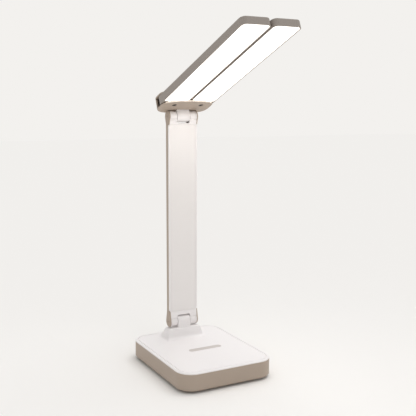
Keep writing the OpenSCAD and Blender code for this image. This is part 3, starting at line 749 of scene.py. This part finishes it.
@dataclass
class Base:
    """The weighted base: shell, cover with its pedestal, touch key and foot pad."""

    finishes: Finishes
    corner: float = 20.0
    wall: float = 2.2
    floor: float = 2.2
    slope: float = 1.6
    pad_inset: float = 7.0
    lip_r: float = 1.0
    groove: tuple[float, float, float] = (3.0, 0.9, 1.1)
    middle: float = 18.0
    pedestal_end: Flank = Flank(24.2, 22.2, 2.5, 3.5)
    pedestal_front: Flank = Flank(9.3, 7.5, 6.0, 2.5)
    pedestal_rear: Flank = Flank(11.0, 5.0, 2.5, 2.5)
    pedestal_r: float = 0.45
    pedestal_gap: float = 7.7
    knuckle_root: float = 5.0
    screw_inset: float = 13.0
    key_proud: float = 0.15
    post: tuple[float, float] = (9.0, 3.3)
    sink: float = 6.0

    def __post_init__(self) -> None:
        """Reads the driving heights from the construction."""
        low, high = box("base_shell")
        self.width, self.depth = (high - low)[:2]
        self.low_z, self.rim_z = low[2], high[2]
        self.pad_z = box("foot_pad")[1][2]
        self.key_low, self.key_high = box("touch_key")
        self.top_z = self.key_high[2] - self.key_proud
        self.axis = np.array(joint("base_fold")["pos_m"]) / MM

    def outline(self, inset: float = 0.0) -> Outline:
        """The base's outline in plan, or one inside it."""
        return rectangle(self.width - 2 * inset, self.depth - 2 * inset,
                         self.corner - inset, step=3.0)

    def bar(self, room: float = 0.0) -> Outline:
        """The touch key's stadium in plan, wider and longer by some room."""
        wide, across = (self.key_high - self.key_low)[:2] + room
        x, y = (self.key_low + self.key_high)[:2] / 2
        return rectangle(wide, across, across / 2, x, y)

    def shell(self) -> None:
        """The lower shell: floor, slope, band and its inner wall as one profile."""
        w, pad = self.wall, self.pad_inset - GAP
        inner = self.low_z + self.floor
        path = [(self.middle, self.pad_z, 0), (pad, self.pad_z, 0), (pad, self.low_z, 0.2),
                (self.slope, self.low_z, 0.5), (0, self.low_z + self.slope, 1.0),
                (0, self.rim_z, 0.25), (w, self.rim_z, 0.2), (w, inner, 0.6),
                (self.middle, inner, 0)]
        piece = Piece("lower_shell", drawn_out(self.outline(), round_path(path, False, 12.0, 0.08)))
        mouth = front_outline("charging_socket", 0.6, 2 * GAP, step=15.0)
        piece.cut(slab(mouth, self.depth / 2 - w - 1, self.depth, axis=Axis.Y))
        sx, sy = self.width / 2 - self.screw_inset, self.depth / 2 - self.screw_inset
        wide, hole = self.post
        for x, y in ((sx, sy), (-sx, sy), (sx, -sy), (-sx, -sy)):
            piece.add(rod(wide, inner - 0.5, inner + 3.3, Axis.Z, x, y))
            piece.cut(rod(self.sink, self.low_z - 0.3, inner + 0.2, Axis.Z, x, y),
                      rod(hole, inner, inner + 5, Axis.Z, x, y))
        piece.finish(Body.BASE, "taupe_plastic", self.finishes, "base_shell")

    def pedestal(self) -> Solid:
        """The pedestal: a stack of rectangles with small round corners.

        Each ring's four sides lie where the flanks' reach at its height puts them.
        """
        low, high = self.top_z, self.axis[2] - self.pedestal_gap
        turns = np.linspace(0, np.pi / 2, 10)
        sides = self.pedestal_end, self.pedestal_front
        height = np.unique(np.concatenate(
            [[low - 0.6, low + 0.004]]
            + [low + f.fillet * (1 - np.cos(turns[1:])) for f in sides]
            + [high - f.shoulder * (1 - np.sin(turns)) for f in sides]).round(3))
        end, front, rear = (f.reach(height, low, high)[:, None] for f in
                            (self.pedestal_end, self.pedestal_front, self.pedestal_rear))
        radius = self.pedestal_r
        angle = np.concatenate([np.linspace(a, a + np.pi / 2, 5) for a in np.arange(4) * np.pi / 2])
        side_x = np.repeat((1, -1, -1, 1), 5)
        ahead = np.repeat((0, 0, 1, 1), 5)
        x = side_x * (end - radius) + radius * np.cos(angle)
        y = np.where(ahead, radius - front, rear - radius) + radius * np.sin(angle)
        z = np.broadcast_to(height[:, None], x.shape)
        points = np.stack([x, y + self.axis[1], z], -1).reshape(-1, 3)
        return Solid(points, tube_faces(*x.shape))

    def cover(self) -> None:
        """The upper cover with its rounded rim, groove, pedestal and middle knuckle."""
        inset, wide, deep = self.groove
        lip = self.wall + GAP
        z, rim = self.top_z, self.rim_z
        path = [(self.middle, rim, 0), (lip + 1.2, rim, 0), (lip + 1.2, rim - 2, 0),
                (lip, rim - 2, 0), (lip, rim, 0), (0, rim, 0.12), (0, z, self.lip_r),
                (inset, z, 0.15), (inset, z - deep, 0), (inset + wide, z - deep, 0),
                (inset + wide, z, 0.15), (self.middle, z, 0)]
        piece = Piece("upper_cover", drawn_out(self.outline(), round_path(path, False, 10.0, 0.06)))
        r = HINGE.knuckle_r
        foot = -self.pedestal_gap - self.knuckle_root
        knuckle = HINGE.knuckle([(-r, foot, 0), (r, foot, 0), (r, r, r),
                                      (-r, r, r)]).placed(lambda p: p + self.axis)
        piece.add(self.pedestal(), knuckle)
        half = HINGE.knuckle_w / 2 + 1
        piece.cut(slab(self.bar(2 * GAP), self.key_low[2], z + 1),
                  rod(HINGE.bore, -half, half, Axis.X, self.axis[1], self.axis[2]))
        piece.finish(Body.BASE, "white_plastic", self.finishes, "base_cover")

    def key(self) -> None:
        """The touch key: a stadium with a soft upper edge."""
        low, high = self.key_low[2], self.key_high[2]
        piece = Piece("touch_bar", slab(self.bar(), low, high, 0.05, 0.14))
        piece.finish(Body.BASE, "key_plastic", self.finishes, "touch_key")

    def pad(self) -> None:
        """The foot pad under the shell."""
        piece = Piece("rubber_pad", slab(self.outline(self.pad_inset), 0.0, self.pad_z, 0.4, 0.05))
        piece.finish(Body.BASE, "pad_rubber", self.finishes, "foot_pad")

    def build(self) -> None:
        """Builds every piece of the base."""
        self.shell()
        self.cover()
        self.key()
        self.pad()


@dataclass
class Arm:
    """The flat arm: rear shell with its cheeks, front shell with the barrels, insert."""

    finishes: Finishes
    thick: float = 8.4
    front_t: float = 2.4
    corner: float = 3.0
    rear_t: float = 1.5
    cheek_t: float = 1.2
    cheek_r: float = 6.8
    flare_lo: float = 13.0
    flare_hi: float = 9.5
    ledge: tuple[float, float] = (5.3, 4.5)
    ring_from_end: float = 1.6
    sink: float = 2.6
    dimple: float = 2.4
    insert_r: float = 3.0

    def __post_init__(self) -> None:
        """Reads the arm's width and length from the construction."""
        low, high = box("arm_rear_shell")
        self.width = high[0] - low[0]
        span = np.array(joint("head_fold")["pos_m"]) - np.array(joint("base_fold")["pos_m"])
        self.length = span[2] / MM
        self.end = self.width / 2 - self.cheek_t
        self.flat_l = self.length - self.flare_lo - self.flare_hi
        self.middle = self.flare_lo + self.flat_l / 2

    def at_top(self, solid: Solid) -> Solid:
        """The mirror image of a lower-end solid at the arm's upper end."""
        return Solid(solid.points * (1, 1, -1) + (0, 0, self.length),
                     [f[::-1] for f in solid.faces])

    def two_ends(self, make: Callable[[float], Solid]) -> Solid:
        """A solid at the lower end and its counterpart at the upper end."""
        return joined(make(self.flare_lo), self.at_top(make(self.flare_hi)))

    def barrel(self) -> Solid:
        """One barrel: a drum with soft edges and a ring groove near its outer end."""
        r, start, end = HINGE.barrel_r, HINGE.notch_w / 2, self.end
        ring = end - self.ring_from_end
        near, far, deep = ring - 0.25, ring + 0.25, r - 0.3
        path = [(r - 1.5, start, 0), (r, start, 0.7), (r, near, 0.1), (deep, near, 0),
                (deep, far, 0), (r, far, 0.1), (r, end, 0.1), (r - 1.5, end, 0)]
        return turned(path, Axis.X, 96)

    def front(self) -> None:
        """The front shell: plate, swelling ends, barrels, notches, bores and recess."""
        half, end = self.thick / 2, self.end
        plate = slab(rectangle(self.width, self.flat_l, self.corner, y=-self.middle), -half,
                     -half + self.front_t, 0.5, 0.05, Axis.Y)
        far, rise = self.ledge
        piece = Piece("front_shell", plate, lower_hinge)

        def flare(reach: float) -> Solid:
            corners = [(-half, reach + 0.3, 0), (-half, reach, 3.0), (-far, rise, 0.35),
                       (-far + 2, rise - 0.5, 0), (-2, 0.5, 0), (0, 0.5, 0),
                       (-half + self.front_t, reach + 0.3, 0)]
            return slab(Outline(round_path(corners, True, 6.0)), -end, end, axis=Axis.X)

        drum = both(self.barrel())
        piece.add(self.two_ends(flare), joined(drum, self.at_top(drum)))
        piece.cut(self.two_ends(lambda _: self.notch()))
        for z in (0.0, self.length):
            piece.cut(rod(HINGE.bore, -self.width, self.width, Axis.X, 0, z))
            sink = rod(HINGE.head, end - self.sink, end + 3, Axis.X, 0, z)
            piece.cut(both(sink))
        recess = front_outline("arm_insert", self.insert_r + GAP, 2 * GAP,
                               joint("base_fold")["pos_m"][2] / MM)
        piece.cut(slab(recess, -half - 1, -half + 0.9, axis=Axis.Y))
        piece.finish(Body.ARM, "white_plastic", self.finishes, "arm_front_shell")

    def notch(self) -> Solid:
        """The opening over a middle knuckle, with round inner corners."""
        w, h = HINGE.notch_w / 2, HINGE.notch_h
        outline = rounded([(-w, 20, 0), (w, 20, 0), (w, -h, 2.0), (-w, -h, 2.0)])
        return slab(outline, -20, 20, axis=Axis.Y)

    def insert(self) -> None:
        """The front insert panel."""
        low, high = box("arm_insert")
        piece = Piece("front_insert", slab(front_outline("arm_insert", self.insert_r), low[1],
                                           high[1], 0.25, 0.05, Axis.Y))
        piece.finish(Body.ARM, "insert_plastic", self.finishes, "arm_insert")

    def side_outline(self) -> Outline:
        """Side view of a cheek: straight edges that swell to a circle at both axes.

        Each swelling is the line from the end of the straight stretch that touches the
        circle: its touching point lies at the angle of that end, less the angle whose
        cosine is the radius over the distance.
        """
        half, r, top = self.thick / 2, self.cheek_r, self.length

        def touch(reach: float) -> float:
            return math.atan2(reach, half) - math.acos(r / math.hypot(half, reach))

        lo, hi = touch(self.flare_lo), touch(self.flare_hi)
        lower = np.linspace(lo, -np.pi - lo, 60)
        upper = np.linspace(np.pi + hi, -hi, 60)
        points = np.concatenate([
            [(half, self.flare_lo)], np.stack([r * np.cos(lower), r * np.sin(lower)], 1),
            [(-half, self.flare_lo), (-half, top - self.flare_hi)],
            np.stack([r * np.cos(upper), top + r * np.sin(upper)], 1),
            [(half, top - self.flare_hi)]])
        return Outline(points)

    def rear(self) -> None:
        """The rear shell: two cheeks, the back wall and its swelling ends."""
        half, end, w = self.thick / 2, self.end, self.width / 2
        cheek = slab(self.side_outline(), end, w, 0.0, 0.4, Axis.X)
        back = slab(rectangle(2 * end + 0.4, self.flat_l + 0.2, 0, y=-self.middle),
                    half - self.rear_t, half, axis=Axis.Y)
        far, rise = self.ledge

        def flare(reach: float) -> Solid:
            corners = [(half, reach + 0.3, 0), (half - self.rear_t, reach + 0.3, 0),
                       (far - 2, rise, 0), (far, rise, 0.35), (half, reach, 3.0)]
            return slab(Outline(round_path(corners, True, 6.0)), -end - 0.2, end + 0.2, axis=Axis.X)

        piece = Piece("rear_shell", both(cheek), lower_hinge)
        piece.add(back, self.two_ends(flare))
        piece.cut(self.two_ends(lambda _: self.notch()))
        for z in (0.0, self.length):
            piece.cut(rod(2 * HINGE.barrel_r + 0.4, -end, end, Axis.X, 0, z))
            piece.cut(both(rod(self.dimple, w - 0.5, w + 1, Axis.X, 0, z)))
        front = rectangle(self.width + 2, self.flat_l, 0, y=-self.middle)
        piece.cut(slab(front, -half - 2, -half + self.front_t, axis=Axis.Y))
        piece.finish(Body.ARM, "taupe_plastic", self.finishes, "arm_rear_shell")

    def build(self) -> None:
        """Builds every piece of the arm."""
        self.front()
        self.insert()
        self.rear()


@dataclass
class Carrier:
    """The head's carrier: knuckle block, oval plate and cap with the rear wall."""

    finishes: Finishes
    plate_n: tuple[float, float] = (6.2, 8.4)
    plate_slope: tuple[float, float] = (2.6, 1.5)
    cap_n: tuple[float, float] = (19.9, 22.1)
    cap_fall: float = 1.2
    cap_flat: float = 18.0
    half: float = 33.8
    deep: float = 19.5
    widest: float = 13.2
    power: float = 3.3
    wall: float = 1.8
    open_at: float = 6.0
    pocket: float = 14.6
    pocket_l: float = 11.3
    pivot: tuple[float, float] = PIVOT
    post: float = 6.0
    post_hole: float = 2.7
    screw: tuple[float, float] = (5.9, 2.9)
    block_screw: tuple[float, float] = (4.6, 2.2)
    block_at: tuple[float, float] = (5.0, -4.6)

    def outline(self) -> Outline:
        """The oval in plan: |x / half| ^ power + |y / deep| ^ power = 1, moved forwards.

        The points' angle parameter runs evenly; the cosine and sine are raised to two
        over the power with their signs kept.
        """
        angle = np.linspace(0, 2 * np.pi, 144, endpoint=False)
        spots = np.stack([np.cos(angle), np.sin(angle)], 1)
        spots = np.sign(spots) * np.abs(spots) ** (2 / self.power)
        return Outline(spots * (self.half, self.deep) - (0, self.widest))

    def pair(self, diameter: float, low: float, high: float) -> Solid:
        """Rods at both swing pivots."""
        x, y = self.pivot
        return joined(*(rod(diameter, low, high, Axis.Z, side * x, y) for side in (1, -1)))

    def block(self) -> None:
        """The knuckle block under the plate."""
        r, top = HINGE.knuckle_r, self.plate_n[0]
        corners = [(-r, top, 0), (-r, -r, r), (r, -r, r), (r, 1, 1.0), (5, top, 0)]
        piece = Piece("knuckle_block", HINGE.knuckle(corners), head_frame)
        half = HINGE.knuckle_w
        piece.cut(rod(HINGE.bore, -half, half, Axis.X))
        piece.finish(Body.CARRIER, "white_plastic", self.finishes, "hinge_block")

    def plate(self) -> None:
        """The oval plate with the barrels' pockets and the counterbored pivot holes.

        Its lower edge is a quarter of an ellipse, wider than it is high.
        """
        low, high = self.plate_n
        inset, rise = self.plate_slope
        turns = np.linspace(0, np.pi / 2, 9)
        rim = np.stack([inset * (1 - np.sin(turns)), low + rise * (1 - np.cos(turns))], 1)
        profile = np.concatenate([[(inset + 1.5, low)], rim, [(0, high - 0.25), (0.07, high - 0.07),
                                                              (0.25, high), (inset + 1.5, high)]])
        piece = Piece("oval_plate", drawn_out(self.outline(), profile), head_frame)
        inner = HINGE.knuckle_w / 2
        piece.cut(both(rod(self.pocket, inner, inner + self.pocket_l, Axis.X)))
        (wide, hole), (x, y) = self.screw, self.pivot
        for side in (x, -x):
            piece.cut(rod(wide, low - 1, low + 1.4, Axis.Z, side, y),
                      rod(hole, low, high + 1, Axis.Z, side, y))
        (wide, hole), (x, y) = self.block_screw, self.block_at
        for side in (x, -x):
            piece.cut(rod(wide, high - 1, high + 1, Axis.Z, side, y),
                      rod(hole, low - 1, high, Axis.Z, side, y))
        # The plate's look adds painted light on its front edge and a painted shade line above it.
        piece.finish(Body.CARRIER, "taupe_plastic", self.finishes,
                     "carrier_plate", look="oval_plate")

    def cap(self) -> None:
        """The cap: a cup over the oval, open at the sides and front, with pivot posts.

        Its top falls evenly from the level stretch to the front edge.
        """
        low, (inside, top) = self.plate_n[1], self.cap_n
        path = [(4.0, inside, 0), (self.wall, inside, 0.3), (self.wall, low, 0.1), (0, low, 0.1),
                (0, top, 0.9), (4.0, top, 0)]
        cup = drawn_out(self.outline(), round_path(path, False, 10.0, 0.06))
        front = self.widest + self.deep
        run = ((-cup.points[:, 1] - self.cap_flat) / (front - self.cap_flat)).clip(0, 1)
        lift = ((cup.points[:, 2] - inside) / (top - inside)).clip(0, 1)
        cup.points[:, 2] -= self.cap_fall * run * run * (3 - 2 * run) * lift
        piece = Piece("carrier_hood", cup, head_frame)
        opening = rectangle(2 * self.half + 10, 60, 0.6, y=-self.open_at - 30)
        piece.cut(slab(opening, low - 1, inside + 0.01))
        piece.add(self.pair(self.post, low, inside + 0.5))
        piece.cut(self.pair(self.post_hole, low - 1, low + 7))
        piece.finish(Body.CARRIER, "taupe_plastic", self.finishes, "carrier_cap")

    def build(self) -> None:
        """Builds every piece of the carrier."""
        self.block()
        self.plate()
        self.cap()


@dataclass
class Panel:
    """One light panel: housing with its window, and the lit diffuser."""

    body: Body
    finishes: Finishes
    side: float
    width: float = 33.6
    reach: float = 199.4
    lit_n: float = 8.7
    thick: float = 10.7
    fall: float = 2.4
    tip_r: float = 6.0
    rim: float = 1.2
    ledge: float = 1.2
    window_back: float = 5.0
    window_r: float = 4.0
    diffuser_n: tuple[float, float] = (8.9, 10.5)
    pocket_n: float = 15.5
    pivot: tuple[float, float] = PIVOT
    bore: float = 6.1

    def place(self, points: Array) -> Array:
        """Places points given from the swing pivot."""
        return head_frame(points + (self.side * self.pivot[0], self.pivot[1], 0))

    def window(self, inset: float) -> Outline:
        """The window's outline, at a distance inside the panel's sides."""
        half, back = self.width / 2 - inset, -self.window_back - inset
        tip, rear = max(self.tip_r - inset, 0.5), self.window_r - inset
        front = -self.reach + inset
        return rounded([(-half, front, tip), (half, front, tip), (half, back, rear),
                        (-half, back, rear)])

    def housing(self) -> None:
        """The housing: round rear end, straight sides, soft edges, window and pocket.

        Its top falls evenly from the rear end to the tip: each point sinks in proportion
        to its height over the underside and its distance from the rear end.
        """
        half, top = self.width / 2, self.lit_n + self.thick
        outline = rounded([(-half, -self.reach, self.tip_r), (half, -self.reach, self.tip_r),
                           (half, half, half), (-half, half, half)], 4.0)
        block = slab(outline, self.lit_n, top, 0.3, 1.0, flat=2.5)
        along = (half - block.points[:, 1]) / (half + self.reach)
        block.points[:, 2] -= self.fall * along * (block.points[:, 2] - self.lit_n) / self.thick
        piece = Piece(f"{self.body.value}_shell", block, self.place)
        piece.cut(slab(self.window(self.rim), self.lit_n - 1, self.diffuser_n[1]),
                  slab(self.window(self.rim + self.ledge), self.lit_n, self.pocket_n),
                  rod(self.bore, self.lit_n - 1, top + 1, Axis.Z))
        piece.finish(self.body, "panel_plastic", self.finishes,
                     f"{self.body.value}_housing")

    def diffuser(self) -> None:
        """The diffuser: a thin lit plate that keeps each point's distance from its edge."""
        low, high = self.diffuser_n
        path = [(4.8, low, 0), (3.0, low, 0), (1.5, low, 0), (0.8, low, 0), (0, low, 0.25),
                (0, high, 0.05), (4.8, high, 0)]
        solid = drawn_out(self.window(self.rim + GAP), round_path(path, False, 15.0, 0.04))
        piece = Piece(f"{self.body.value}_light", solid, self.place)
        inset = piece.object.data.attributes.new("inset", "FLOAT", "POINT")
        inset.data.foreach_set("value", solid.values.astype(np.float32))
        piece.finish(self.body, "lit_diffuser", self.finishes,
                     self.body.value.replace("panel", "diffuser"))

    def build(self) -> None:
        """Builds every piece of the panel."""
        self.housing()
        self.diffuser()


# ---- Studio


@dataclass
class Studio:
    """Floor, backdrop, soft light and the camera."""

    paper: Colour = (0.896, 0.879, 0.855)
    sky: float = 0.62
    key: float = 1.2
    key_from: Colour = (0.3, 0.1, 1.0)
    key_angle: float = 50.0
    camera_at: tuple[float, float, float] = (-384.01, -734.74, 311.47)
    yaw: float = 28.23
    pitch: float = 8.03
    roll: float = 0.14
    focal_px: float = 707.78
    picture_px: float = 416.0
    sensor: float = 36.0

    def floor(self) -> None:
        """A wide plain floor that takes the lamp's shadow."""
        size = 6000 * MM
        mesh = bpy.data.meshes.new("floor")
        mesh.from_pydata([(-size, -size, 0), (size, -size, 0), (size, size, 0), (-size, size, 0)],
                         [], [(0, 1, 2, 3)])
        floor = new_object("floor", mesh)
        s = Shader("floor_paper")
        s.set(Base_Color=self.paper, Roughness=0.9, Specular_IOR_Level=0.0)
        mesh.materials.append(s.material)

    def world(self) -> None:
        """An even sky that lights the lamp, and the paper's colour behind it."""
        world = bpy.data.worlds.new("studio")
        bpy.context.scene.world = world
        world.use_nodes = True
        nodes, links = world.node_tree.nodes, world.node_tree.links
        light = nodes["Background"]
        light.inputs["Color"].default_value = (1, 1, 1, 1)
        light.inputs["Strength"].default_value = self.sky
        paper = nodes.new("ShaderNodeBackground")
        paper.inputs["Color"].default_value = (*self.paper, 1)
        path = nodes.new("ShaderNodeLightPath")
        mix = nodes.new("ShaderNodeMixShader")
        links.new(path.outputs["Is Camera Ray"], mix.inputs[0])
        links.new(light.outputs[0], mix.inputs[1])
        links.new(paper.outputs[0], mix.inputs[2])
        links.new(mix.outputs[0], nodes["World Output"].inputs["Surface"])

    def key_light(self) -> None:
        """A soft distant light; its angle is its apparent size in degrees."""
        data = bpy.data.lights.new("key_light", "SUN")
        data.energy = self.key
        data.angle = math.radians(self.key_angle)
        light = new_object("key_light", data)
        light.rotation_mode = "QUATERNION"
        light.rotation_quaternion = Vector(self.key_from).to_track_quat("Z", "Y")

    def camera(self) -> None:
        """The camera at the picture's viewing angle.

        It is turned by the roll about its own line of sight, then tipped down by the
        pitch, then turned to the right by the yaw.
        """
        data = bpy.data.cameras.new("camera")
        data.sensor_width = self.sensor
        data.lens = self.focal_px / self.picture_px * self.sensor
        data.clip_start, data.clip_end = 0.01, 50.0
        camera = new_object("camera", data)
        camera.location = Vector(self.camera_at) * MM
        aim = (Matrix.Rotation(math.radians(-self.yaw), 3, "Z")
               @ Matrix.Rotation(math.radians(90 - self.pitch), 3, "X")
               @ Matrix.Rotation(math.radians(self.roll), 3, "Z"))
        camera.rotation_euler = aim.to_euler()
        bpy.context.scene.camera = camera

    def build(self) -> None:
        """Sets up the whole studio."""
        bpy.context.scene.view_settings.view_transform = "Standard"
        self.floor()
        self.world()
        self.key_light()
        self.camera()


def main() -> None:
    """Builds the lamp and the studio."""
    logging.basicConfig(level=logging.INFO, format="%(name)s: %(message)s")
    finishes = Finishes()
    finishes.dress_nodes()
    Base(finishes).build()
    Arm(finishes).build()
    Carrier(finishes).build()
    Panel(Body.LEFT, finishes, -1.0).build()
    Panel(Body.RIGHT, finishes, 1.0).build()
    Studio().build()


if __name__ == "__main__":
    main()
